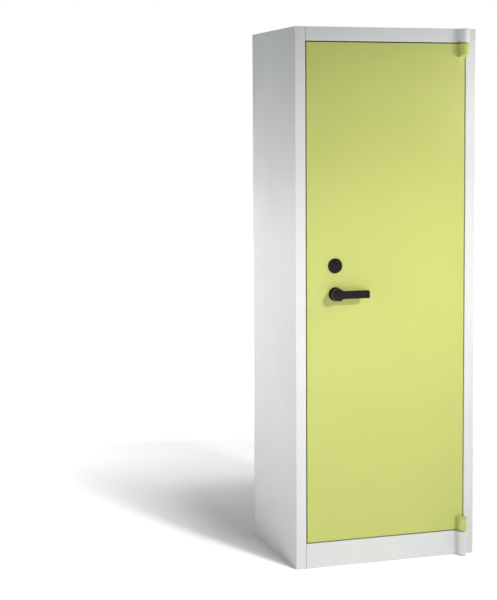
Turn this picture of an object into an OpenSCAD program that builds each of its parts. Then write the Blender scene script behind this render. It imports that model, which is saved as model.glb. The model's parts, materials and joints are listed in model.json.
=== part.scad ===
// Tall steel security cupboard: a folded sheet carcass, one full-height door on two
// outside hinges, a turning lever that throws bolts on three sides, a separate key lock
// and four shelves on slotted rails.
// Millimetres, +Z up, front towards -Y. The origin is on the floor, at the middle of the
// rectangle that the cupboard covers, lever included. In the helpers below, y is counted
// from the front face of the frame, positive towards the back.

/* [Cabinet] */
// Width over the side panels
cabinet_w = 700; // [650:10:900]
// Depth from the front frame to the back
cabinet_d = 500; // [400:10:600]
// Height from the floor to the top
cabinet_h = 1950; // [1900:10:2100]
// Thickness of the folded steel sheet
sheet = 1.5; // [1.2:0.1:2]
// Visible width of each upright of the front frame
stile_w = 39; // [38:1:50]
// Visible height of the frame above the door
top_rail_h = 50; // [45:1:80]
// Visible height of the frame below the door
plinth_h = 91; // [80:1:120]

/* [Door] */
// Gap between the door and the frame, all round
door_gap = 4; // [3.5:0.1:5]
// Thickness of the door
door_t = 38; // [38:1:42]
// Clear distance between the door's back and the stop lips
stop_gap = 3; // [2:0.5:5]
// Width of the stop lips behind the door
stop_lip = 12; // [10:1:16]

/* [Hinges] */
// Radius of the round nose of the hinge lugs
lug_r = 17; // [15:0.5:17.5]
// Distance of the hinge pin in front of the frame
hinge_out = 13.5; // [13:0.5:15]
// Distance of the hinge pin inside the door's hinge edge
hinge_in = 8.5; // [8:0.5:10]
// Diameter of the hinge pins
pin_d = 10; // [8:1:10]
// Height of each door knuckle, beside the door
knuckle_h = 50; // [45:1:60]

/* [Lever and lock] */
// Distance of the lever's axis from the door's closing edge
lever_inset = 107; // [100:1:130]
// Height of the lever's axis above the floor
lever_z = 996; // [950:1:1050]
// Height of the keyhole above the lever's axis
lock_rise = 102; // [95:1:120]
// Diameter of the lever's rosette
rosette_d = 50; // [44:1:54]
// Diameter of the keyhole escutcheon
escutcheon_d = 54; // [50:1:60]
// Length of the lever from its axis to its end
lever_len = 116; // [100:1:130]
// Height of the lever's bar
lever_bar_h = 28; // [24:1:30]
// Distance that the lever stands out from the door
lever_reach = 50; // [48:1:60]

/* [Bolt work] */
// Radius of the drive pins about the lever's axis
crank_r = 14; // [14:0.1:15]
// Diameter of the three side bolts
side_bolt_d = 14; // [12:1:14]
// Diameter of the tips of the upper and lower rods
rod_tip_d = 12; // [10:1:12]
// Heights of the side bolts and of the fixed dog bolts opposite
bolt_heights = [440, 996, 1540];

/* [Shelves] */
// Slots, counted from the bottom of the rails, that hold the four shelves
shelf_slots = [6, 13, 20, 28];
// Spacing of the slots in the shelf rails
slot_pitch = 50; // [40:5:60]
// Height of the folded edge round a shelf
shelf_edge_h = 28; // [20:1:35]

/* [Fixing holes] */
// Diameter of the anchor holes in the floor and the back
anchor_d = 13; // [9:0.5:15]
// Spacing of the floor anchor holes across the cupboard
floor_anchor_x = 500; // [400:10:560]
// Spacing of the floor anchor holes from front to back
floor_anchor_y = 300; // [200:10:320]
// Spacing of the wall anchor holes across the cupboard
wall_anchor_x = 500; // [400:10:560]
// Spacing of the wall anchor holes up the back
wall_anchor_z = 1200; // [1000:10:1400]

/* [Hidden] */
$fn = 64;

// Colours
grey = [0.80, 0.81, 0.81];
inner_grey = [0.74, 0.75, 0.75];
green = [0.78, 0.82, 0.42];
black = [0.07, 0.07, 0.08];
zinc = [0.72, 0.73, 0.74];
steel = [0.55, 0.56, 0.58];
brass = [0.75, 0.62, 0.32];
rubber = [0.10, 0.10, 0.10];

// Carcass
front_y = (lever_reach - cabinet_d) / 2;
half_w = cabinet_w / 2;
stile_x = half_w - stile_w;
inner_x = half_w - sheet;
body_top = cabinet_h - sheet;
stop_y = door_t + stop_gap;
lip_x = stile_x - stop_lip;
lip_y = stop_y + sheet;
back_y = cabinet_d - 2 * sheet;
back_flange = 18;
anchor_mid_y = cabinet_d / 2 + 20;
tray_flange = 20;

// Door
door_x = stile_x - door_gap;
door_bottom = plinth_h + door_gap;
door_top = cabinet_h - top_rail_h - door_gap;
pan_t = 1.5;
skin_depth = door_t - pan_t;
pan_flange = 6;
pan_fit = 0.5;
screw_inset = 16;
screw_edge = 60;
screw_heights = [
    door_bottom + screw_edge, door_bottom + 440, (door_bottom + door_top) / 2,
    door_top - 440, door_top - screw_edge
];
pan_screw_d = 5;

// Fixed dog bolts on the hinge edge, and the strips that back up the frame's returns
dog_d = 12;
dog_neck_d = 8;
dog_y = 22;
dog_out = 10;
dog_swing = 6;
dog_play = 1.5;
keeper_t = 4;
keeper_over = 40;

// Hinges
hinge_x = door_x - hinge_in;
bush_d = pin_d + 4;
running_fit = 0.1;
nose_chamfer = 9;
upper_lug_z = cabinet_h - top_rail_h;
pin_in_lug = 40;
pin_in_knuckle = 34;
bush_len = 36;
washer_d = 24;
washer_gap = 0.4;
lug_foot = 2;

// Layers inside the door, counted from the front: the carriage that moves sideways, the
// drive disc, and the two rods that move up and down
carriage_y = 8.5;
carriage_t = 5;
disc_y = 15.5;
disc_t = 4;
rod_y = 21.5;
rod_t = 5;
rod_mid_y = rod_y + rod_t / 2;
carriage_mid_y = carriage_y + carriage_t / 2;

// Lever and bolt work. The lever turns a quarter turn from open to locked, so each drive
// pin starts 45 degrees before the middle of its travel.
lever_x = lever_inset - door_x;
lock_z = lever_z + lock_rise;
pin_offset = crank_r * sin(45);
stroke = 2 * pin_offset;
drive_pin_d = 8;
slot_play = 0.9;
slot_w = drive_pin_d + 2 * slot_play;
disc_r = crank_r + drive_pin_d / 2 + 2;
spindle_d = 12;
spindle_square = 8.4;
handle_bush_d = 18;
handle_bush_len = 8;
rod_offset = 50;
top_rod_x = lever_x - rod_offset;
bottom_rod_x = lever_x + rod_offset;
rod_w = 16;
foot_h = 18;
tip_inside = 1;
tip_len = stroke + 4;
bar_w = 24;
bar_x = top_rod_x - bar_w / 2;
bar_over = 40;
arm_drop = 16;
arm_h = 16;
guide_len = 18;
guide_x = door_x - sheet - guide_len;

// Lock
case_x0 = lever_x - 26;
case_x1 = lever_x + 34;
case_h = 84;
case_y = 15;
case_t = 16;
case_wall = 1.5;
lock_bolt_h = 10;
lock_bolt_throw = 10;
tab_play = 1.4;
tab_out = lock_bolt_throw + 2;
tab_h = stroke - lock_bolt_h - 2 * tab_play;
tab_z = lock_z + lock_bolt_h / 2 + tab_play - stroke;
lever_pitch = 0.8;
lever_sheet = 0.5;
pack_y = case_y + case_wall + 0.2;
key_slot_h = 22;
key_slot_w = 6;

// Handle
rosette_h = 9;
hub_r = 22;
hub_gap = 0.6;
neck_r = 17;
lever_t = 15;
corner_r = 4;
grub_d = 5;
grub_y = -rosette_h - 20;
escutcheon_h = 6;
cover_t = 3;
cover_r = 13.5;
cover_eye_r = 6;
cover_pivot_z = lock_z + 18;
cover_pin_d = 4;

// Shelves
rail_w = 25;
rail_depth = 10;
rail_bottom = 60;
rail_top_gap = 50;
first_slot = 100;
slot_h = 14;
slot_open = 7;
rail_front_y = 62;
rail_back_y = cabinet_d - 55;
shelf_sheet = 1.2;
shelf_x = inner_x - rail_depth - 2;
shelf_front_y = 52;
shelf_back_y = cabinet_d - 12;
shelf_hem = 12;
clip_t = 3;
clip_w = 16;

// Two ends in rising order, and the two ends of a stretch about its middle
function ordered(a, b) = [min(a, b), max(a, b)];
function span(middle, length) = [middle - length / 2, middle + length / 2];

// A block between two corners, y counted from the front face
module block(x, y, z) {
    translate([x[0], front_y + y[0], z[0]])
        cube([x[1] - x[0], y[1] - y[0], z[1] - z[0]]);
}

// Round bars along each axis, given by their ends, centre and diameter
module bar_along_x(x, y, z, d) {
    translate([x[0], front_y + y, z])
        rotate([0, 90, 0])
            cylinder(h = x[1] - x[0], d = d);
}

module bar_along_y(x, y, z, d) {
    translate([x, front_y + y[1], z])
        rotate([90, 0, 0])
            cylinder(h = y[1] - y[0], d = d);
}

module bar_along_z(x, y, z, d) {
    translate([x, front_y + y, z[0]])
        cylinder(h = z[1] - z[0], d = d);
}

// A turned shape on the door's face: its profile's second axis points out to the front
module turned(x, z) {
    translate([x, front_y, z])
        rotate([90, 0, 0])
            rotate_extrude()
                children();
}

// Side panel in plan: upright, return, stop lip, side wall and back flange from one sheet
module side_profile() {
    polygon([
        [-half_w, front_y], [-stile_x, front_y], [-stile_x, front_y + stop_y],
        [-lip_x, front_y + stop_y], [-lip_x, front_y + lip_y],
        [-stile_x - sheet, front_y + lip_y], [-stile_x - sheet, front_y + sheet],
        [-inner_x, front_y + sheet], [-inner_x, front_y + cabinet_d - sheet],
        [-half_w + back_flange, front_y + cabinet_d - sheet],
        [-half_w + back_flange, front_y + cabinet_d], [-half_w, front_y + cabinet_d]
    ]);
}

module folded_side() {
    translate([0, 0, sheet])
        linear_extrude(cabinet_h - 2 * sheet)
            side_profile();
}

module side_panel_left() {
    color(grey)
        difference() {
            folded_side();
            for (z = bolt_heights)
                bar_along_x([-stile_x - 2 * sheet, -stile_x + sheet], carriage_mid_y, z, side_bolt_d + 1);
        }
}

module side_panel_right() {
    color(grey)
        difference() {
            mirror([1, 0, 0])
                folded_side();
            for (z = bolt_heights)
                dog_slot(stile_x - sheet, stile_x + 2 * sheet, z);
        }
}

// Slots that the fixed dog bolts enter as the door swings shut
module dog_slot(x0, x1, z) {
    r = dog_d / 2;
    block([x0, x1], [dog_y - r - 1, dog_y + r + dog_swing], [z - r - dog_play, z + r + dog_play]);
}

module back_panel() {
    color(grey)
        difference() {
            block([-inner_x, inner_x], [back_y, back_y + sheet], [sheet, body_top]);
            for (x = [-1, 1], z = [-1, 1])
                bar_along_y(x * wall_anchor_x / 2, [back_y - 1, cabinet_d],
                    cabinet_h / 2 + z * wall_anchor_z / 2, anchor_d);
        }
}

// Upstand inside the side and back walls, shared by the top and the floor
module tray_upstand(z) {
    for (side = [-1, 1])
        block(side < 0 ? [-inner_x, sheet - inner_x] : [inner_x - sheet, inner_x], [lip_y, back_y], z);
    block([sheet - inner_x, inner_x - sheet], [back_y - sheet, back_y], z);
}

module top_panel() {
    color(grey) {
        block([-half_w, half_w], [0, cabinet_d], [body_top, cabinet_h]);
        tray_upstand([body_top - tray_flange, body_top]);
    }
}

module floor_panel() {
    color(grey)
        difference() {
            union() {
                block([-half_w, half_w], [0, cabinet_d], [0, sheet]);
                tray_upstand([sheet, sheet + tray_flange]);
            }
            for (x = [-1, 1], y = [-1, 1])
                bar_along_z(x * floor_anchor_x / 2, anchor_mid_y + y * floor_anchor_y / 2, [-1, sheet + 1],
                    anchor_d);
        }
}

// Cross rail of the front frame: face, shelf towards the back and stop lip.
// The door is on the side that z_door points to, with z_far at the frame's outer edge.
module cross_rail(z_far, z_door, toward_door) {
    flange = ordered(z_door, z_door - toward_door * sheet);
    lip_end = z_door + toward_door * stop_lip;
    block([-stile_x, stile_x], [0, sheet], ordered(z_far, z_door));
    block([-stile_x, stile_x], [sheet, stop_y], flange);
    block([-lip_x, lip_x], [stop_y, lip_y], [min(lip_end, flange[0]), max(lip_end, flange[1])]);
}

module top_rail() {
    color(grey)
        difference() {
            cross_rail(body_top, upper_lug_z, -1);
            bar_along_z(top_rod_x, rod_mid_y, [upper_lug_z - 1, upper_lug_z + 3], rod_tip_d + 1.5);
        }
}

module plinth_rail() {
    color(grey)
        difference() {
            cross_rail(sheet, plinth_h, 1);
            bar_along_z(bottom_rod_x, rod_mid_y, [plinth_h - 3, plinth_h + 1], rod_tip_d + 1.5);
        }
}

// Slotted rail spot-welded to a side wall; side is -1 on the left, y is its front edge
module shelf_rail(side, y) {
    rail_top = body_top - rail_top_gap;
    slots = floor((rail_top - first_slot - slot_h) / slot_pitch);
    web = side * (inner_x - rail_depth);
    wall = side * inner_x;
    color(zinc)
        difference() {
            block(ordered(web, wall), [y, y + rail_w], [rail_bottom, rail_top]);
            block(ordered(web + side * sheet, wall + side),
                [y + sheet, y + rail_w - sheet], [rail_bottom - 1, rail_top + 1]);
            for (i = [0:slots])
                block(ordered(web - side, web + side * 2 * sheet),
                    [y + (rail_w - slot_open) / 2, y + (rail_w + slot_open) / 2],
                    [first_slot + i * slot_pitch - slot_h / 2, first_slot + i * slot_pitch + slot_h / 2]);
        }
}

module shelf_rail_front_left() { shelf_rail(-1, rail_front_y); }
module shelf_rail_back_left() { shelf_rail(-1, rail_back_y); }
module shelf_rail_front_right() { shelf_rail(1, rail_front_y); }
module shelf_rail_back_right() { shelf_rail(1, rail_back_y); }

function slot_z(i) = first_slot + i * slot_pitch;

// Shelf: a sheet with its four edges folded down and a hem along the front and the back
module shelf(i) {
    bottom = slot_z(shelf_slots[i]);
    top = bottom + shelf_edge_h;
    color(zinc) {
        difference() {
            block([-shelf_x, shelf_x], [shelf_front_y, shelf_back_y], [bottom, top]);
            block([shelf_sheet - shelf_x, shelf_x - shelf_sheet],
                [shelf_front_y + shelf_sheet, shelf_back_y - shelf_sheet], [bottom - 1, top - shelf_sheet]);
        }
        block([shelf_sheet - shelf_x, shelf_x - shelf_sheet],
            [shelf_front_y + shelf_sheet, shelf_front_y + shelf_hem], [bottom, bottom + shelf_sheet]);
        block([shelf_sheet - shelf_x, shelf_x - shelf_sheet],
            [shelf_back_y - shelf_hem, shelf_back_y - shelf_sheet], [bottom, bottom + shelf_sheet]);
    }
}

module shelf_1() { shelf(0); }
module shelf_2() { shelf(1); }
module shelf_3() { shelf(2); }
module shelf_4() { shelf(3); }

// Clip: a ledge under the shelf's corner with a tongue through a slot of the rail
module shelf_clip(side, y, z) {
    face = side * (inner_x - rail_depth);
    ledge = side * (inner_x - rail_depth - 18);
    hook = side * (inner_x - rail_depth + sheet + 2);
    block(ordered(face, ledge), span(y, clip_w), [z - clip_t, z]);
    block(ordered(face, hook), span(y, 5), [z - clip_t, z]);
    block(ordered(face, face - side * 1.8),
        span(y, clip_w), [z - clip_t - 12, z - clip_t]);
}

module shelf_clips() {
    color(zinc)
        for (i = shelf_slots, side = [-1, 1], y = [rail_front_y, rail_back_y])
            shelf_clip(side, y + rail_w / 2, slot_z(i));
}

// Hinge lugs in plan, about the pin: a round nose on a block that stands on the frame or the
// door. The door's knuckle stops at the door's edge, so that it can turn past the frame.
module lug_plan(reach_x) {
    translate([hinge_x, front_y - hinge_out]) {
        intersection() {
            circle(r = lug_r);
            translate([-lug_r, -lug_r])
                square([2 * lug_r, lug_r + hinge_out]);
        }
        translate([-lug_r, 0])
            square([lug_r + reach_x, hinge_out]);
    }
}

module frame_lug(z0, z1) {
    translate([0, 0, z0])
        linear_extrude(z1 - z0)
            lug_plan(lug_r);
}

module upper_frame_lug() {
    color(grey)
        difference() {
            frame_lug(upper_lug_z, cabinet_h);
            bar_along_z(hinge_x, -hinge_out, [upper_lug_z - 1, upper_lug_z + pin_in_lug], pin_d);
        }
}

module lower_frame_lug() {
    color(grey)
        difference() {
            frame_lug(lug_foot, plinth_h);
            bar_along_z(hinge_x, -hinge_out, [plinth_h - pin_in_lug, plinth_h + 1], pin_d);
        }
}

module upper_hinge_pin() {
    color(steel)
        bar_along_z(hinge_x, -hinge_out, [door_top - pin_in_knuckle, upper_lug_z + pin_in_lug], pin_d);
}

module lower_hinge_pin() {
    color(steel)
        bar_along_z(hinge_x, -hinge_out, [plinth_h - pin_in_lug, door_bottom + pin_in_knuckle], pin_d);
}

// Door knuckle that stands on z = 0 and rises to its sloped free end
module knuckle() {
    nose = front_y - hinge_out - lug_r;
    difference() {
        linear_extrude(knuckle_h)
            lug_plan(hinge_in);
        translate([hinge_x - lug_r - 1, nose, knuckle_h - nose_chamfer])
            rotate([18, 0, 0])
                translate([0, -20, 0])
                    cube([2 * lug_r + 2, 80, 30]);
        bar_along_z(hinge_x, -hinge_out, [-1, bush_len], bush_d);
    }
}

module upper_knuckle() {
    color(green)
        translate([0, 0, door_top])
            mirror([0, 0, 1])
                knuckle();
}

module lower_knuckle() {
    color(green)
        translate([0, 0, door_bottom])
            knuckle();
}

module hinge_bush(z0) {
    color(brass)
        difference() {
            bar_along_z(hinge_x, -hinge_out, [z0, z0 + bush_len], bush_d);
            bar_along_z(hinge_x, -hinge_out, [z0 - 1, z0 + bush_len + 1], pin_d + running_fit);
        }
}

module upper_hinge_bush() { hinge_bush(door_top - bush_len); }
module lower_hinge_bush() { hinge_bush(door_bottom); }

module thrust_washer(z0) {
    color(brass)
        difference() {
            bar_along_z(hinge_x, -hinge_out, [z0, z0 + door_gap - washer_gap], washer_d);
            bar_along_z(hinge_x, -hinge_out, [z0 - 1, z0 + door_gap], pin_d + 1);
        }
}

module upper_thrust_washer() { thrust_washer(door_top); }
module lower_thrust_washer() { thrust_washer(door_bottom - door_gap + washer_gap); }

// Strips that back up the frame's returns where the bolts enter
module keeper_strip(x) {
    block(x, [sheet, stop_y - 1], [bolt_heights[0] - keeper_over, bolt_heights[2] + keeper_over]);
}

module bolt_keeper() {
    x = [-stile_x - sheet - keeper_t, -stile_x - sheet];
    color(zinc)
        difference() {
            keeper_strip(x);
            for (z = bolt_heights)
                bar_along_x([x[0] - 1, x[1] + 1], carriage_mid_y, z, side_bolt_d + 1);
        }
}

module dog_bolt_keeper() {
    x = [stile_x + sheet, stile_x + sheet + keeper_t];
    color(zinc)
        difference() {
            keeper_strip(x);
            for (z = bolt_heights)
                dog_slot(x[0] - 1, x[1] + 1, z);
        }
}

// Plastic rings that guide the rod tips in the frame
module rod_keeper(x, z0, z1) {
    color(black)
        difference() {
            bar_along_z(x, rod_mid_y, [z0, z1], rod_tip_d + 12);
            bar_along_z(x, rod_mid_y, [z0 - 1, z1 + 1], rod_tip_d + 1);
        }
}

module top_rod_keeper() { rod_keeper(top_rod_x, upper_lug_z + sheet, upper_lug_z + sheet + 5); }
module bottom_rod_keeper() { rod_keeper(bottom_rod_x, plinth_h - sheet - 5, plinth_h - sheet); }

module door_buffers() {
    color(rubber)
        for (z = [door_bottom + 60, door_bottom + 620, door_top - 620, door_top - 60])
            bar_along_y(-lip_x - 6, [door_t + 0.2, stop_y], z, 8);
}

// Outer skin of the door: a tray that opens to the back
module door_skin() {
    color(green)
        difference() {
            block([-door_x, door_x], [0, skin_depth], [door_bottom, door_top]);
            block([sheet - door_x, door_x - sheet], [sheet, skin_depth + 1],
                [door_bottom + sheet, door_top - sheet]);
            bar_along_y(lever_x, [-1, sheet + 1], lever_z, handle_bush_d);
            key_slot([-1, sheet + 1]);
            for (z = bolt_heights) {
                bar_along_x([-door_x - 1, sheet - door_x + 1], carriage_mid_y, z, side_bolt_d + 0.6);
                bar_along_x([door_x - sheet - 1, door_x + 1], dog_y, z, dog_neck_d);
            }
            bar_along_z(top_rod_x, rod_mid_y, [door_top - sheet - 1, door_top + 1], rod_tip_d + 0.6);
            bar_along_z(bottom_rod_x, rod_mid_y, [door_bottom - 1, door_bottom + sheet + 1],
                rod_tip_d + 0.6);
        }
}

// Opening for the key, round in the middle and narrow above and below
module key_slot(y) {
    block(span(lever_x, key_slot_w), y, span(lock_z, key_slot_h));
    bar_along_y(lever_x, y, lock_z, key_slot_w + 3);
}

// Inner pan of the door: a plate with a low flange that fits inside the skin
module door_inner_pan() {
    out = door_x - sheet - pan_fit;
    low = door_bottom + sheet + pan_fit;
    high = door_top - sheet - pan_fit;
    color(inner_grey)
        difference() {
            union() {
                block([-door_x, door_x], [skin_depth, door_t], [door_bottom, door_top]);
                block([-out, out], [skin_depth - pan_flange, skin_depth], [low, high]);
            }
            block([sheet - out, out - sheet], [skin_depth - pan_flange - 1, skin_depth],
                [low + sheet, high - sheet]);
            for (x = [-1, 1], z = screw_heights)
                bar_along_y(x * (door_x - screw_inset), [skin_depth - 1, door_t + 1], z, pan_screw_d);
        }
}

module inner_pan_screws() {
    color(zinc)
        for (x = [-1, 1], z = screw_heights) {
            bar_along_y(x * (door_x - screw_inset), [skin_depth - 8, door_t], z, pan_screw_d);
            bar_along_y(x * (door_x - screw_inset), [door_t, door_t + 1.6], z, pan_screw_d + 4);
        }
}

// Hat-shaped stiffener welded to the skin
module door_stiffener() {
    color(inner_grey)
        translate([80, front_y + sheet, door_bottom + 20])
            linear_extrude(door_top - door_bottom - 40)
                polygon([
                    [-45, 0], [-25, 0], [-25, 26], [25, 26], [25, 0], [45, 0],
                    [45, sheet], [25 + sheet, sheet], [25 + sheet, 26 + sheet],
                    [-25 - sheet, 26 + sheet], [-25 - sheet, sheet], [-45, sheet]
                ]);
}

// Fixed bolts on the hinge edge: neck through the skin, head inside
module dog_bolts() {
    color(zinc)
        for (z = bolt_heights) {
            bar_along_x([door_x, door_x + dog_out], dog_y, z, dog_d);
            bar_along_x([door_x - sheet, door_x], dog_y, z, dog_neck_d);
            bar_along_x([door_x - sheet - 4, door_x - sheet], dog_y, z, dog_d + 4);
        }
}

module handle_rosette() {
    color(black)
        turned(lever_x, lever_z)
            polygon([
                [handle_bush_d / 2, 0], [rosette_d / 2, 0], [rosette_d / 2, rosette_h - 4],
                [rosette_d / 2 - 1.2, rosette_h - 1.2], [rosette_d / 2 - 4, rosette_h],
                [handle_bush_d / 2, rosette_h]
            ]);
}

module handle_bush() {
    color(brass)
        difference() {
            bar_along_y(lever_x, [2 - rosette_h, handle_bush_len], lever_z, handle_bush_d);
            bar_along_y(lever_x, [-rosette_h, handle_bush_len + 1], lever_z, spindle_d + running_fit);
        }
}

// Lever handle: a round hub with a domed front and a flat bar towards the hinge side
module handle_lever() {
    back = rosette_h + hub_gap;
    color(black) {
        difference() {
            union() {
                turned(lever_x, lever_z)
                    polygon([
                        [0, back], [neck_r, back], [neck_r, back + 4], [hub_r, back + 7],
                        [hub_r, lever_reach - 7], [hub_r - 2, lever_reach - 3],
                        [hub_r - 7, lever_reach - 0.6], [0, lever_reach]
                    ]);
                lever_bar();
            }
            bar_along_y(lever_x, [-lever_reach + 8, 0], lever_z, spindle_d);
            bar_along_z(lever_x, grub_y, [lever_z - hub_r - 1, lever_z], grub_d);
        }
    }
}

module lever_bar() {
    low = lever_z - lever_bar_h / 2;
    end = lever_x + lever_len;
    front = 3 - lever_reach;
    block([lever_x, end - corner_r], [front, front + lever_t], [low, low + lever_bar_h]);
    block([lever_x, end], [front, front + lever_t], [low + corner_r, low + lever_bar_h - corner_r]);
    for (z = [low + corner_r, low + lever_bar_h - corner_r])
        bar_along_y(end - corner_r, [front, front + lever_t], z, 2 * corner_r);
}

module grub_screw() {
    color(steel)
        bar_along_z(lever_x, grub_y, [lever_z - hub_r + 2, lever_z - spindle_d / 2], grub_d);
}

// Spindle: round through the bush, square in the drive disc
module spindle() {
    color(steel) {
        bar_along_y(lever_x, [-lever_reach + 8, disc_y], lever_z, spindle_d);
        block(span(lever_x, spindle_square), [disc_y, disc_y + disc_t],
            span(lever_z, spindle_square));
    }
}

// Drive disc: one pin to the front for the carriage, two to the back for the rods
module drive_disc() {
    color(zinc) {
        difference() {
            bar_along_y(lever_x, [disc_y, disc_y + disc_t], lever_z, 2 * disc_r);
            block(span(lever_x, spindle_square), [disc_y - 1, disc_y + disc_t + 1],
                span(lever_z, spindle_square));
        }
        bar_along_y(lever_x + pin_offset, [carriage_y - 0.5, disc_y], lever_z - pin_offset, drive_pin_d);
        for (side = [-1, 1])
            bar_along_y(lever_x + side * pin_offset, [disc_y + disc_t, rod_y + rod_t + 1],
                lever_z + side * pin_offset, drive_pin_d);
    }
}

// Carriage for the side bolts: a long upright bar and an arm with a fork for the drive pin
module bolt_carriage() {
    y = [carriage_y, carriage_y + carriage_t];
    arm_z = lever_z - arm_drop;
    fork_x = lever_x + pin_offset;
    color(zinc)
        difference() {
            union() {
                block([bar_x, bar_x + bar_w], y, [bolt_heights[0] - bar_over, bolt_heights[2] + bar_over]);
                block([bar_x + bar_w, fork_x + 12], y, span(arm_z, arm_h));
            }
            block(span(fork_x, slot_w), [y[0] - 1, y[1] + 1],
                [lever_z - crank_r - drive_pin_d / 2 - 1, arm_z + arm_h]);
        }
}

module side_bolts() {
    color(zinc)
        for (z = bolt_heights)
            bar_along_x([-door_x + tip_inside, bar_x], carriage_mid_y, z, side_bolt_d);
}

// Guide blocks for the side bolts, inside the door's closing edge
module bolt_guides() {
    color(brass)
        for (z = bolt_heights)
            difference() {
                block([-door_x + sheet, -guide_x], [sheet, carriage_mid_y + side_bolt_d / 2 + 2],
                    span(z, 24));
                bar_along_x([-door_x, -guide_x + 1], carriage_mid_y, z, side_bolt_d + 0.2);
            }
}

// A rod's foot, slotted for its drive pin: pin_x is the pin's place at rest, and the pin
// swings out to crank_r from the lever's axis on the given side
module rod_foot(side, x_far, pin_z) {
    near = lever_x + side * (pin_offset - drive_pin_d / 2 - slot_play - 2.6);
    slot_near = lever_x + side * (pin_offset - drive_pin_d / 2 - slot_play);
    slot_far = lever_x + side * (crank_r + drive_pin_d / 2 + slot_play);
    difference() {
        block(ordered(near, x_far), [rod_y, rod_y + rod_t], span(pin_z, foot_h));
        block(ordered(slot_near, slot_far), [rod_y - 1, rod_y + rod_t + 1],
            span(pin_z, slot_w));
    }
}

// Upper rod, with the tab that the lock bolt blocks
module top_rod() {
    pin_z = lever_z - pin_offset;
    tip_z = door_top - tip_inside;
    color(zinc) {
        rod_foot(-1, top_rod_x - rod_w / 2, pin_z);
        block(span(top_rod_x, rod_w), [rod_y, rod_y + rod_t],
            [pin_z + foot_h / 2, tip_z - tip_len]);
        block([top_rod_x + rod_w / 2, top_rod_x + rod_w / 2 + tab_out], [rod_y, rod_y + rod_t],
            [tab_z, tab_z + tab_h]);
        bar_along_z(top_rod_x, rod_mid_y, [tip_z - tip_len, tip_z], rod_tip_d);
    }
}

module bottom_rod() {
    pin_z = lever_z + pin_offset;
    tip_z = door_bottom + tip_inside;
    color(zinc) {
        rod_foot(1, bottom_rod_x + rod_w / 2, pin_z);
        block(span(bottom_rod_x, rod_w), [rod_y, rod_y + rod_t],
            [tip_z + tip_len, pin_z - foot_h / 2]);
        bar_along_z(bottom_rod_x, rod_mid_y, [tip_z, tip_z + tip_len], rod_tip_d);
    }
}

// Staples that hold a rod near the skin, open towards the back
module rod_guide(x, z) {
    difference() {
        block([x - rod_w / 2 - 5, x + rod_w / 2 + 5], [sheet, rod_y + rod_t + 3], span(z, 24));
        block([x - rod_w / 2 - 0.4, x + rod_w / 2 + 0.4], [rod_y - 0.4, rod_y + rod_t + 0.4], span(z, 26));
    }
}

module top_rod_guides() {
    color(black)
        for (z = [bolt_heights[2] + bar_over + 60, door_top - 80])
            rod_guide(top_rod_x, z);
}

module bottom_rod_guides() {
    color(black)
        for (z = [door_bottom + 80, lever_z - 300])
            rod_guide(bottom_rod_x, z);
}

// Lock: a case with an open back, its cover, the lever pack and the bolt
module lock_case() {
    z = span(lock_z, case_h);
    y = [case_y, case_y + case_t - case_wall];
    color(zinc)
        difference() {
            block([case_x0, case_x1], y, z);
            block([case_x0 + case_wall, case_x1 - case_wall], [y[0] + case_wall, y[1] + 1],
                [z[0] + case_wall, z[1] - case_wall]);
            block([case_x0 - 1, case_x0 + case_wall + 1], [rod_y - 0.5, y[1] + 1],
                [lock_z - lock_bolt_h / 2 - 0.4, lock_z + lock_bolt_h / 2 + 0.4]);
            key_slot([case_y - 1, case_y + case_wall + 1]);
        }
}

module lock_cover() {
    color(zinc)
        block([case_x0, case_x1], [case_y + case_t - case_wall, case_y + case_t],
            span(lock_z, case_h));
}

// Pack of sprung levers that the key lifts
module lock_levers() {
    color(brass)
        for (i = [0:5])
            difference() {
                block([lever_x + 8, case_x1 - 6],
                    [pack_y + i * lever_pitch, pack_y + i * lever_pitch + lever_sheet],
                    [lock_z - 30 + i, lock_z + 24 + i]);
                block([lever_x + 7, lever_x + 14], [case_y, case_y + case_t], span(lock_z, 18));
            }
}

module lock_bolt() {
    color(brass)
        difference() {
            block([case_x0 - 2, lever_x + 20], [rod_y, rod_y + rod_t],
                span(lock_z, lock_bolt_h));
            block([lever_x - 4, lever_x + 6], [rod_y - 1, rod_y + rod_t + 1],
                [lock_z - lock_bolt_h, lock_z - 1]);
        }
}

// Screws that hold the lock case to the skin
module lock_screws() {
    color(steel)
        for (x = [case_x0 + 8, case_x1 - 8], z = [-1, 1])
            bar_along_y(x, [sheet, case_y], lock_z + z * (case_h / 2 - 8), 6);
}

// Keyhole escutcheon: a low dish with the key opening in its middle
module escutcheon() {
    r = escutcheon_d / 2;
    color(black)
        difference() {
            turned(lever_x, lock_z)
                polygon([
                    [0, 0], [r, 0], [r, escutcheon_h - 3], [r - 1.5, escutcheon_h - 0.8],
                    [r - 4, escutcheon_h], [0, escutcheon_h]
                ]);
            key_slot([-escutcheon_h - 1, 1]);
            bar_along_y(lever_x, [-escutcheon_h - 1, 2 - escutcheon_h], cover_pivot_z, cover_pin_d);
        }
}

module cover_pivot() {
    head = -escutcheon_h - cover_t - 0.4;
    color(steel) {
        bar_along_y(lever_x, [head, 2 - escutcheon_h], cover_pivot_z, cover_pin_d);
        bar_along_y(lever_x, [head - 1.2, head], cover_pivot_z, cover_pin_d + 3);
    }
}

// Cover that hangs over the keyhole and swings aside about its eye
module keyhole_cover() {
    y = [-escutcheon_h - cover_t - 0.2, -escutcheon_h - 0.2];
    color(black)
        difference() {
            union() {
                bar_along_y(lever_x, y, lock_z, 2 * cover_r);
                bar_along_y(lever_x, y, cover_pivot_z, 2 * cover_eye_r);
                block([lever_x - cover_eye_r, lever_x + cover_eye_r], y, [lock_z, cover_pivot_z]);
            }
            bar_along_y(lever_x, [y[0] - 1, y[1] + 1], cover_pivot_z, cover_pin_d + running_fit);
        }
}

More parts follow.
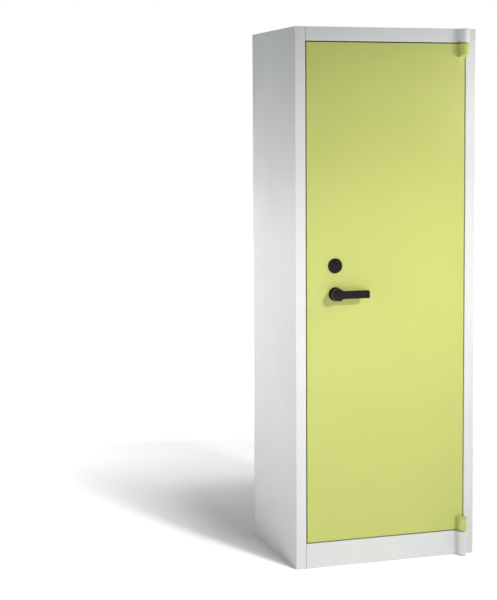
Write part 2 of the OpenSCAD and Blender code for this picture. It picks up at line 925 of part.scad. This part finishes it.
side_panel_left();
side_panel_right();
back_panel();
top_panel();
floor_panel();
top_rail();
plinth_rail();
shelf_rail_front_left();
shelf_rail_back_left();
shelf_rail_front_right();
shelf_rail_back_right();
shelf_1();
shelf_2();
shelf_3();
shelf_4();
shelf_clips();
upper_frame_lug();
lower_frame_lug();
upper_hinge_pin();
lower_hinge_pin();
bolt_keeper();
dog_bolt_keeper();
top_rod_keeper();
bottom_rod_keeper();
door_buffers();
door_skin();
door_inner_pan();
door_stiffener();
upper_knuckle();
lower_knuckle();
upper_hinge_bush();
lower_hinge_bush();
upper_thrust_washer();
lower_thrust_washer();
dog_bolts();
handle_rosette();
handle_bush();
escutcheon();
cover_pivot();
lock_case();
lock_cover();
lock_levers();
lock_screws();
bolt_guides();
top_rod_guides();
bottom_rod_guides();
inner_pan_screws();
handle_lever();
spindle();
drive_disc();
grub_screw();
bolt_carriage();
side_bolts();
top_rod();
bottom_rod();
lock_bolt();
keyhole_cover();
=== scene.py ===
"""The looks of the tall steel security cupboard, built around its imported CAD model."""
import json
import math

import bmesh
import bpy
from mathutils import Matrix, Vector


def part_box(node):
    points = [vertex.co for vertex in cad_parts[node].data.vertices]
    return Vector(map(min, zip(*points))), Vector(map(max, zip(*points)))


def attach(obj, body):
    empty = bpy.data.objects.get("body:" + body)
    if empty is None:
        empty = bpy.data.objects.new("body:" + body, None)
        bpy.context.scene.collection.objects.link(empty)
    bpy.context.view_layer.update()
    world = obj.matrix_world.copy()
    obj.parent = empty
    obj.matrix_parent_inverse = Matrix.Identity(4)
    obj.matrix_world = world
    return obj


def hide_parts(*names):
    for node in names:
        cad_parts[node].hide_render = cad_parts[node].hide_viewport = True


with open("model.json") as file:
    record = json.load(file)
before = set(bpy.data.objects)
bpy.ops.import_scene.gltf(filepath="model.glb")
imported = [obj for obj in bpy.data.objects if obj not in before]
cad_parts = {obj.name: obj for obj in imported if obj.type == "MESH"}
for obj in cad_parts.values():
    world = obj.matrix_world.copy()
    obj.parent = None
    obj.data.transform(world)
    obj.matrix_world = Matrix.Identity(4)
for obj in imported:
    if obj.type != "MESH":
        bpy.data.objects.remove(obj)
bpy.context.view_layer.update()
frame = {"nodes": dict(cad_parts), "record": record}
nodes = frame["nodes"]
body_of_node = {
    node: body
    for body, members in frame["record"]["behaviour"]["bodies"].items()
    for node in members
}
slot_of_node = {row["node"]: row["material_slot"] for row in frame["record"]["subparts"]}
MM = 0.001


# ---------------------------------------------------------------- shader helpers


class Shader:
    """A material's node tree, with short calls for the nodes used here."""

    def __init__(self, name):
        self.material = bpy.data.materials.new(name)
        self.material.use_nodes = True
        self.tree = self.material.node_tree
        self.surface = self.tree.nodes["Principled BSDF"]
        self.coords = self.tree.nodes.new("ShaderNodeTexCoord").outputs["Object"]

    def feed(self, socket, value):
        """Links a socket to another, or sets its constant."""
        if isinstance(value, bpy.types.NodeSocket):
            self.tree.links.new(value, socket)
        else:
            socket.default_value = value

    def set(self, node=None, **inputs):
        """Sets or links inputs by name, of a node or else of the Principled shader."""
        for name, value in inputs.items():
            self.feed((node or self.surface).inputs[name.replace("_", " ")], value)

    def add(self, kind, **inputs):
        """A new node of that kind with its inputs set or linked."""
        made = self.tree.nodes.new(kind)
        self.set(made, **inputs)
        return made

    def scaled(self, factors):
        """The object's own coordinates, multiplied by a factor along each axis."""
        return self.add("ShaderNodeMapping", Scale=factors, Vector=self.coords).outputs["Vector"]

    def noise(self, scale, detail, vector=None):
        """Soft cloudy noise, in the object's own coordinates or in those given."""
        made = self.add("ShaderNodeTexNoise", Scale=scale, Detail=detail)
        self.set(made, Vector=vector or self.coords)
        return made.outputs["Fac"]

    def product(self, a, b):
        """The product of two values."""
        made = self.tree.nodes.new("ShaderNodeMath")
        made.operation = "MULTIPLY"
        self.feed(made.inputs[0], a)
        self.feed(made.inputs[1], b)
        return made.outputs[0]

    def fit(self, value, low, high, to_low, to_high):
        """The value carried from one range to another, and kept inside it."""
        made = self.tree.nodes.new("ShaderNodeMapRange")
        for socket, number in zip(made.inputs, (value, low, high, to_low, to_high)):
            self.feed(socket, number)
        return made.outputs["Result"]

    def spread(self, noise, low, high):
        """Noise, which mostly stays between 0.3 and 0.7, carried to another range."""
        return self.fit(noise, 0.3, 0.7, low, high)

    def mix(self, factor, a, b):
        """A colour between a and b."""
        made = self.tree.nodes.new("ShaderNodeMix")
        made.data_type = "RGBA"
        # A mix node has sockets of every data type, and those for colours are 6, 7 and 2
        self.feed(made.inputs[0], factor)
        self.feed(made.inputs[6], a)
        self.feed(made.inputs[7], b)
        return made.outputs[2]

    def mottled(self, base, darker, lighter, scale, detail):
        """A colour that drifts between a darker and a lighter tone of the base."""
        cloud = self.spread(self.noise(scale, detail), 0.0, 1.0)
        return self.mix(cloud, shade(base, darker), shade(base, lighter))

    def bump(self, height, distance, below=None):
        """A bump that stands up to that distance in metres, over another if one is given."""
        made = self.add("ShaderNodeBump", Distance=distance, Height=height)
        if below is not None:
            self.set(made, Normal=below)
        return made.outputs["Normal"]


def colour(red, green, blue):
    """A display colour, 0 to 255, as the linear colour that shaders take."""

    def linear(value):
        share = value / 255
        return share / 12.92 if share <= 0.04045 else ((share + 0.055) / 1.055) ** 2.4

    return (linear(red), linear(green), linear(blue), 1.0)


def shade(rgba, factor):
    """A colour made darker or lighter by a factor."""
    return tuple(min(1.0, channel * factor) for channel in rgba[:3]) + (1.0,)


# ---------------------------------------------------------------- materials


def powder_coat(name, base, gloss):
    """Sprayed and baked polyester powder: a fine orange peel over slightly uneven sheet."""
    s = Shader(name)
    tone = s.mottled(base, 0.975, 1.02, scale=2.6, detail=2.0)
    speckle = s.fit(s.noise(scale=700.0, detail=1.0), 0.62, 0.78, 0.0, 0.10)
    waves = s.bump(s.noise(scale=3.4, detail=1.0), 1.6 * MM)
    s.set(
        Base_Color=s.mix(speckle, tone, shade(base, 0.80)),
        Roughness=s.spread(s.noise(scale=9.0, detail=3.0), gloss - 0.03, gloss + 0.05),
        Normal=s.bump(s.noise(scale=420.0, detail=2.0), 0.06 * MM, below=waves),
    )
    return s.material


def moulded_plastic(name, base, gloss, shine=0.5):
    """Injection-moulded plastic or rubber with a fine spark-eroded grain."""
    s = Shader(name)
    grain = s.noise(scale=1900.0, detail=3.0)
    s.set(
        Base_Color=s.mottled(base, 0.85, 1.25, scale=60.0, detail=3.0),
        Roughness=s.spread(grain, gloss - 0.05, gloss + 0.08),
        Specular_IOR_Level=shine,
        Normal=s.bump(grain, 0.04 * MM),
    )
    return s.material


def brushed_metal(name, base, gloss, factors):
    """Plated, drawn or turned metal, whose grain is long along an axis with a small factor."""
    s = Shader(name)
    lines = s.noise(scale=900.0, detail=3.0, vector=s.scaled(factors))
    s.set(
        Base_Color=s.mottled(base, 0.88, 1.06, scale=22.0, detail=3.0),
        Metallic=1.0,
        Roughness=s.spread(lines, gloss - 0.06, gloss + 0.1),
        Normal=s.bump(lines, 0.02 * MM),
    )
    return s.material


def galvanised(name, base):
    """Hot-dip galvanised sheet: flat zinc crystals of a few millimetres, each of its own tone."""
    s = Shader(name)
    crystals = s.add("ShaderNodeTexVoronoi", Scale=95.0, Randomness=1.0, Vector=s.coords)
    split = s.add("ShaderNodeSeparateColor", Color=crystals.outputs["Color"]).outputs[0]
    tone = s.mix(split, shade(base, 0.84), shade(base, 1.04))
    cloud = s.fit(s.noise(scale=14.0, detail=3.0), 0.45, 0.7, 0.0, 0.35)
    s.set(
        Base_Color=s.mix(cloud, tone, shade(base, 0.8)),
        Metallic=0.9,
        Roughness=s.fit(split, 0.0, 1.0, 0.38, 0.52),
        Normal=s.bump(s.noise(scale=260.0, detail=2.0), 0.04 * MM),
    )
    return s.material


GREY = colour(212, 214, 214)
GREEN = colour(187, 194, 106)
# Factors for the grain of metal: it is long, short or even along Z
LONG_GRAIN = (1.0, 1.0, 0.06)
SHORT_GRAIN = (1.0, 1.0, 0.3)
EVEN_GRAIN = (1.0, 1.0, 1.0)

materials = {
    "grey_powder_coat": powder_coat("grey_coat", GREY, 0.42),
    "green_powder_coat": powder_coat("green_coat", GREEN, 0.40),
    "inner_grey_powder_coat": powder_coat("inner_grey_coat", shade(GREY, 0.9), 0.5),
    "galvanised_steel": galvanised("galvanised_sheet", colour(196, 199, 202)),
    "zinc_plated_steel": brushed_metal("zinc_plate", colour(190, 193, 196), 0.36, LONG_GRAIN),
    "bare_steel": brushed_metal("bright_steel", colour(165, 167, 170), 0.30, LONG_GRAIN),
    "blackened_steel": brushed_metal("oiled_steel", colour(52, 52, 55), 0.42, EVEN_GRAIN),
    "brass": brushed_metal("turned_brass", colour(196, 160, 92), 0.30, SHORT_GRAIN),
    "guide_plastic": moulded_plastic("guide_nylon", colour(38, 39, 41), 0.5),
    "black_plastic": moulded_plastic("handle_nylon", colour(18, 18, 21), 0.42, 0.2),
    "buffer_rubber": moulded_plastic("buffer_rubber", colour(30, 30, 31), 0.7),
}


# ---------------------------------------------------------------- shapes

# Corners this close become one, and so do faces this flat
WELD_GAP = 0.01 * MM
FLAT_ANGLE = math.radians(0.5)
# Edges that bend more than this are rounded
FOLD_ANGLE = math.radians(28)
# Edges of turned pieces that bend more than this look sharp
SHARP_ANGLE = math.radians(35)
# Faces up to this many times as wide as the sheet is thick are cut edges
CUT_WIDTH = 1.3


def welded(node):
    """A CAD node's mesh with its triangles joined up into whole flat faces."""
    shape = bmesh.new()
    shape.from_mesh(nodes[node].data)
    bmesh.ops.remove_doubles(shape, verts=shape.verts[:], dist=WELD_GAP)
    bmesh.ops.dissolve_limit(
        shape, angle_limit=FLAT_ANGLE, verts=shape.verts[:], edges=shape.edges[:]
    )
    return shape


def show(shape, node):
    """Makes the built shape stand for a CAD node: same body, same slot, same finish."""
    mesh = bpy.data.meshes.new(node + "_shape")
    shape.to_mesh(mesh)
    shape.free()
    mesh.materials.append(materials[slot_of_node[node]])
    mesh.polygons.foreach_set("use_smooth", [True] * len(mesh.polygons))
    made = bpy.data.objects.new(node + "_look", mesh)
    bpy.context.scene.collection.objects.link(made)
    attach(made, body_of_node[node])
    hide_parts(node)
    return made


def face_width(face):
    """About how wide a face is across its longest edge."""
    return face.calc_area() / max(edge.calc_length() for edge in face.edges)


def rounded(node, fold, cut, sheet=0.0):
    """A CAD node with rounded edges, radii in mm: fold for the bends, and cut for the edges
    of faces about as narrow as the sheet is thick, where the steel was cut off."""
    shape = welded(node)
    weight = shape.edges.layers.float.new("bevel_weight_edge")
    inside = max(fold - sheet, cut)
    for edge in shape.edges:
        if len(edge.link_faces) != 2 or edge.calc_face_angle() < FOLD_ANGLE:
            continue
        at_cut = min(face_width(face) for face in edge.link_faces) < CUT_WIDTH * sheet * MM
        bend = fold if edge.is_convex else inside
        edge[weight] = (cut if at_cut else bend) / fold
    made = show(shape, node)
    bevel = made.modifiers.new("rounding", "BEVEL")
    bevel.limit_method = "WEIGHT"
    bevel.width = fold * MM
    bevel.segments = 3
    bevel.use_clamp_overlap = False
    bevel.face_strength_mode = "FSTR_ALL"
    shading = made.modifiers.new("shading", "WEIGHTED_NORMAL")
    shading.use_face_influence = True


def moulded(node, voxel, passes):
    """A CAD node with every edge and inner corner blended, as it leaves a mould. It is
    rebuilt on a grid of that voxel in mm, and smoothed in so many passes."""
    made = show(welded(node), node)
    skin = made.modifiers.new("skin", "REMESH")
    skin.mode = "VOXEL"
    skin.voxel_size = voxel * MM
    skin.use_smooth_shade = True
    blend = made.modifiers.new("blend", "SMOOTH")
    blend.factor = 0.5
    blend.iterations = passes
    return made


def settle(made):
    """Bakes an object's modifiers into its mesh, so that its vertices can be moved."""
    seen = made.evaluated_get(bpy.context.evaluated_depsgraph_get())
    made.data = bpy.data.meshes.new_from_object(seen)
    made.modifiers.clear()


def islands(node):
    """The lowest and highest corners of each separate solid in a CAD node."""
    shape = welded(node)
    left = set(shape.verts)
    found = []
    while left:
        group, reached = set(), {left.pop()}
        while reached:
            vert = reached.pop()
            group.add(vert)
            reached |= {other for edge in vert.link_edges for other in edge.verts} & left
            left -= reached
        corners = list(zip(*(vert.co for vert in group)))
        found.append((Vector(map(min, corners)), Vector(map(max, corners))))
    shape.free()
    return found


def section_reach(radius, turn, sides):
    """How far a section reaches at a turn: a circle without sides, or else a regular polygon
    with its flats that far out."""
    if not sides:
        return radius
    part = 2 * math.pi / sides
    return radius / math.cos(turn % part - part / 2)


def add_turned(shape, place, outline, socket):
    """Adds a turned solid along the place's own Z. The outline's rows are heights and radii
    in mm, up from the tip, and the socket's rows are those of the hexagon sunk in its head."""
    steps = 48
    rows = [(height, radius, 0) for height, radius in outline]
    rows += [(height, half_width, 6) for height, half_width in socket]
    rings = []
    for height, radius, sides in rows:
        ring = []
        for i in range(steps):
            turn = 2 * math.pi * i / steps
            reach = section_reach(radius, turn, sides)
            spot = Vector((reach * math.cos(turn), reach * math.sin(turn), height)) * MM
            ring.append(shape.verts.new(place @ spot))
        rings.append(ring)
    for low, high in zip(rings, rings[1:]):
        for i in range(steps):
            shape.faces.new((low[i - 1], low[i], high[i], high[i - 1]))
    shape.faces.new(rings[0][::-1])
    shape.faces.new(rings[-1])


def turned(node, solids, direction, profile):
    """Turned pieces in place of a CAD node's solids, each given by its lowest and highest
    corners. Their heads face the direction, and profile makes the outline and the socket
    from a head's radius and a length in mm."""
    shape = bmesh.new()
    heading = Vector(direction)
    aim = heading.to_track_quat("Z", "Y").to_matrix().to_4x4()
    for low, high in solids:
        length = abs((high - low).dot(heading))
        crown = (low + high + heading * length) / 2
        place = Matrix.Translation(crown) @ aim
        add_turned(shape, place, *profile((high.x - low.x) / 2 / MM, length / MM))
    show(shape, node).data.set_sharp_from_angle(angle=SHARP_ANGLE)


# ---------------------------------------------------------------- pieces

# Sheet pieces by the radii of their bends and of their cut edges and by their thickness, in mm
FOLDED = {
    (2.0, 0.4, 1.5): (
        "side_panel_left", "side_panel_right", "top_panel", "floor_panel", "top_rail", "plinth_rail"
    ),
    (1.0, 0.4, 1.5): ("back_panel",),
    (2.0, 0.3, 1.5): (
        "shelf_rail_front_left", "shelf_rail_back_left",
        "shelf_rail_front_right", "shelf_rail_back_right", "door_stiffener",
    ),
    (1.8, 0.3, 1.2): ("shelf_1", "shelf_2", "shelf_3", "shelf_4"),
    (1.8, 0.4, 1.5): ("door_skin",),
    (1.4, 0.4, 1.5): ("door_inner_pan",),
    (1.6, 0.3, 1.5): ("lock_case",),
    (0.4, 0.3, 0.0): ("lock_cover",),
}

# Solid pieces by the radius in mm of their edges
SOLID = {
    0.3: ("upper_hinge_bush", "lower_hinge_bush", "upper_thrust_washer", "lower_thrust_washer"),
    0.4: (
        "bolt_keeper", "dog_bolt_keeper", "bolt_carriage", "top_rod", "bottom_rod",
        "drive_disc", "handle_bush",
    ),
    0.5: ("top_rod_keeper", "bottom_rod_keeper", "shelf_clips", "lock_bolt"),
    0.6: ("bolt_guides", "top_rod_guides", "bottom_rod_guides"),
    0.7: ("door_buffers",),
    0.8: ("upper_hinge_pin", "lower_hinge_pin", "escutcheon"),
    0.9: ("handle_rosette",),
    1.0: ("dog_bolts",),
    1.2: ("upper_frame_lug", "lower_frame_lug", "upper_knuckle", "lower_knuckle", "side_bolts"),
}


def pan_screw(head, length):
    """Dome-headed screw with a hexagon socket, for the door's inner pan."""
    shank = 2.5
    tip = 1.9
    socket = 1.5
    under_head = -1.6
    outline = [
        (-length, tip), (0.6 - length, shank), (under_head, shank), (under_head, head - 0.15),
        (-1.45, head), (-1.0, head), (-0.5, head - 0.55), (-0.15, head - 1.4), (0.0, head - 2.6),
    ]
    return outline, [(-0.15, socket), (-1.2, socket)]


def grub_screw(radius, length):
    """Headless screw with a hexagon socket, under the lever's hub."""
    tip = 1.0
    rim = 0.4
    socket = 1.3
    outline = [(-length, radius - tip), (tip - length, radius), (-rim, radius), (0.0, radius - rim)]
    return outline, [(0.0, socket), (-2.2, socket)]


def cover_rivet(head, length):
    """Domed rivet that the keyhole's cover hangs from."""
    shank = 2.0
    under_head = -1.2
    outline = [
        (-length, shank), (under_head, shank), (under_head, head - 0.1), (-0.9, head),
        (-0.5, head - 0.3), (-0.2, head - 1.0), (0.0, head - 2.2),
    ]
    return outline, []


def keyhole_cover():
    """Hanging cover with a shallow dome over the keyhole."""
    low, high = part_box("keyhole_cover")
    reach = (high.x - low.x) / 2
    middle = Vector((low.x + reach, 0.0, low.z + reach))
    rise = 1.6 * MM
    made = moulded("keyhole_cover", voxel=0.4, passes=3)
    settle(made)
    for vert in made.data.vertices:
        aside = math.hypot(vert.co.x - middle.x, vert.co.z - middle.z) / reach
        if vert.co.y < (low.y + high.y) / 2 and aside < 1:
            vert.co.y -= rise * (1 - aside * aside)


def finish_nodes():
    """Gives every CAD node the material of its slot."""
    for name, node in nodes.items():
        node.data.materials.clear()
        node.data.materials.append(materials[slot_of_node[name]])


finish_nodes()
for radii, members in FOLDED.items():
    for node in members:
        rounded(node, *radii)
for radius, members in SOLID.items():
    for node in members:
        rounded(node, radius, radius)
moulded("handle_lever", voxel=0.8, passes=5)
keyhole_cover()
turned("inner_pan_screws", islands("inner_pan_screws"), (0, 1, 0), pan_screw)
turned("grub_screw", [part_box("grub_screw")], (0, 0, -1), grub_screw)
turned("cover_pivot", [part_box("cover_pivot")], (0, -1, 0), cover_rivet)


# ---------------------------------------------------------------- stage, light and camera

# Colours of the lamps that light the object and of the faint light from the surroundings
WARM = (1.03, 1.0, 0.98)
COOL = (0.1104, 0.1224, 0.1284, 1.0)
WHITE = (1.0, 1.0, 1.0, 1.0)
# The key light stands to the front right, and draws the lever's shadow with a slight blur
KEY_PLACE = (1.3, -2.76, 2.42)
KEY_RADIUS = 0.07
# The overhead lamps draw the floor shadow, which runs to the back left, this far round from -X
OVERHEAD_HEIGHT = 12.0
OVERHEAD_TARGET = Vector((-0.2, 0.0, 0.0))
SHADOW_HEADING = math.radians(71.0)


def white_floor():
    """A pale floor, plain up to a distance from the middle of the object's shadow and then
    brighter and brighter, until it runs into the white surroundings."""
    shadow_middle = (-0.5, 0.8, 0.0)
    plain_to = 1.25
    white_from = 3.0
    bpy.ops.mesh.primitive_plane_add(size=60.0)
    floor = bpy.context.object
    floor.name = "floor"
    s = Shader("pale_floor")
    distance = s.tree.nodes.new("ShaderNodeVectorMath")
    distance.operation = "DISTANCE"
    s.feed(distance.inputs[0], s.coords)
    s.feed(distance.inputs[1], shadow_middle)
    away = s.fit(distance.outputs["Value"], plain_to, white_from, 0.0, 1.0)
    seen = s.tree.nodes.new("ShaderNodeLightPath").outputs["Is Camera Ray"]
    s.set(
        Base_Color=(0.90, 0.90, 0.90, 1.0),
        Roughness=0.9,
        Specular_IOR_Level=0.1,
        Emission_Color=WHITE,
        Emission_Strength=s.product(away, seen),
    )
    floor.data.materials.append(s.material)
    return floor


def white_world():
    """Surroundings that look white and light the object with a little cool light."""
    world = bpy.data.worlds.new("studio")
    bpy.context.scene.world = world
    world.use_nodes = True
    tree = world.node_tree
    lit = tree.nodes["Background"]
    lit.inputs["Color"].default_value = COOL
    seen = tree.nodes.new("ShaderNodeBackground")
    seen.inputs["Color"].default_value = WHITE
    path = tree.nodes.new("ShaderNodeLightPath")
    mixer = tree.nodes.new("ShaderNodeMixShader")
    tree.links.new(path.outputs["Is Camera Ray"], mixer.inputs[0])
    tree.links.new(lit.outputs[0], mixer.inputs[1])
    tree.links.new(seen.outputs[0], mixer.inputs[2])
    tree.links.new(mixer.outputs[0], tree.nodes["World Output"].inputs["Surface"])


def light_group(name, floor, state):
    """A collection that holds only the floor, which a light then reaches alone or leaves out."""
    group = bpy.data.collections.new(name)
    group.objects.link(floor)
    group.collection_objects[0].light_linking.link_state = state
    return group


floor = white_floor()
FLOOR = light_group("floor_alone", floor, "INCLUDE")
OBJECT = light_group("all_but_floor", floor, "EXCLUDE")


def lamp(data, place, target, receivers):
    """Hangs a lamp at a place, aimed at a target. Only what receivers says is lit by it, and
    the camera doesn't see it."""
    light = bpy.data.objects.new(data.name, data)
    bpy.context.scene.collection.objects.link(light)
    light.location = place
    light.rotation_euler = (Vector(target) - Vector(place)).to_track_quat("-Z", "Y").to_euler()
    light.visible_camera = False
    light.light_linking.receiver_collection = receivers
    return light


def softbox(name, place, target, size, power, receivers):
    """A rectangular studio light, warm on the object and white on the floor."""
    data = bpy.data.lights.new(name, "AREA")
    data.shape = "RECTANGLE"
    data.size, data.size_y = size
    data.energy = power
    if receivers is OBJECT:
        data.color = WARM
    lamp(data, place, target, receivers)


def key_spot(name, target, spread, power):
    """A round spot with a soft-edged beam of that full angle in degrees, which gives the
    object no highlight."""
    data = bpy.data.lights.new(name, "SPOT")
    data.spot_size = math.radians(spread)
    data.spot_blend = 1.0
    data.shadow_soft_size = KEY_RADIUS
    data.energy = power
    data.color = WARM
    lamp(data, KEY_PLACE, target, OBJECT).visible_glossy = False


def overhead(name, reach, turn, strength):
    """A lamp high above the floor. The further it reaches to the front, the longer the shadow
    that it draws, and a turn takes it to the right. Its power grows with its distance, so that
    its strength alone sets how much light it brings to the floor."""
    heading = math.radians(turn) - SHADOW_HEADING
    place = Vector((reach * math.cos(heading), reach * math.sin(heading), OVERHEAD_HEIGHT))
    power = strength * (place.length / OVERHEAD_HEIGHT) ** 3
    softbox(name, place + OVERHEAD_TARGET, OVERHEAD_TARGET, (0.8, 1.6), power, FLOOR)


def studio_camera():
    """The camera stands to the left of the cupboard's front and looks a little down."""
    data = bpy.data.cameras.new("camera")
    camera = bpy.data.objects.new("camera", data)
    bpy.context.scene.collection.objects.link(camera)
    data.sensor_width = 36.0
    data.lens = 89.02
    data.shift_y = -0.10
    data.clip_end = 200.0
    yaw = math.radians(17.305)
    pitch = math.radians(4.230)
    roll = math.radians(-0.300)
    camera.location = (-2.074, -5.197, 1.585)
    turn = Matrix.Rotation(-yaw, 4, "Z") @ Matrix.Rotation(math.pi / 2 - pitch, 4, "X")
    camera.rotation_euler = (turn @ Matrix.Rotation(roll, 4, "Z")).to_euler()
    bpy.context.scene.camera = camera


# Name, place, target, size across and up in metres, power in watts and what it lights
STUDIO_LIGHTS = [
    ("front_high", (0.9, -0.8, 1.75), (0.3, -0.22, 1.65), (0.3, 0.3), 3.6, OBJECT),
    ("front_fill", (0.0, -1.6, 0.8), (-0.05, -0.22, 0.7), (0.9, 0.9), 2.5, OBJECT),
    ("front_left", (-0.8, -2.6, 0.7), (-0.12, -0.22, 0.7), (1.4, 1.0), 9.0, OBJECT),
    ("left_strip", (-1.15, 0.1, 1.08), (-0.35, 0.1, 1.08), (2.4, 0.3), 6.2, OBJECT),
    ("left_back", (-0.95, 0.45, 1.05), (-0.35, 0.4, 1.05), (0.3, 0.8), 1.6, OBJECT),
    ("left_low", (-1.0, 0.2, 0.35), (-0.35, 0.1, 0.4), (0.4, 0.4), 0.5, OBJECT),
    ("right_soft", (1.5, 0.05, 1.1), (0.35, 0.05, 1.0), (0.5, 1.8), 10.0, OBJECT),
    ("back_soft", (0.0, 1.6, 1.1), (0.0, 0.27, 1.0), (0.6, 1.8), 18.0, OBJECT),
    ("top_soft", (0.0, 0.0, 2.9), (0.0, 0.0, 1.95), (0.6, 0.4), 7.0, OBJECT),
    ("floor_soft", (0.0, 0.0, 12.0), (0.0, 0.0, 0.0), (14.0, 14.0), 100.0, FLOOR),
    ("floor_back_left", (-2.4, 2.2, 1.3), (-1.0, 1.2, 0.0), (1.0, 1.0), 30.0, FLOOR),
]
# Name, reach to the front in metres, turn in degrees and strength in watts
OVERHEAD_LAMPS = [
    ("overhead_1", 2.0, 0.0, 110.0), ("overhead_2", 3.0, 0.0, 110.0),
    ("overhead_3", 4.2, 0.0, 200.0), ("overhead_4", 5.6, 0.0, 165.0),
    ("overhead_5", 7.5, 0.0, 170.0), ("overhead_6", 10.0, 0.0, 160.0),
    ("overhead_right", 7.5, 12.0, 85.0), ("overhead_front", 4.2, -12.0, 215.0),
]
# Name, target, full angle of the beam in degrees and power in watts
KEY_LAMPS = [
    ("key", (-0.20, -0.22, 0.92), 40.0, 140.0),
    ("key_low", (-0.18, -0.22, 0.40), 36.0, 150.0),
]

bpy.context.scene.view_settings.view_transform = "Standard"
white_world()
for light in STUDIO_LIGHTS:
    softbox(*light)
for light in OVERHEAD_LAMPS:
    overhead(*light)
for light in KEY_LAMPS:
    key_spot(*light)
studio_camera()
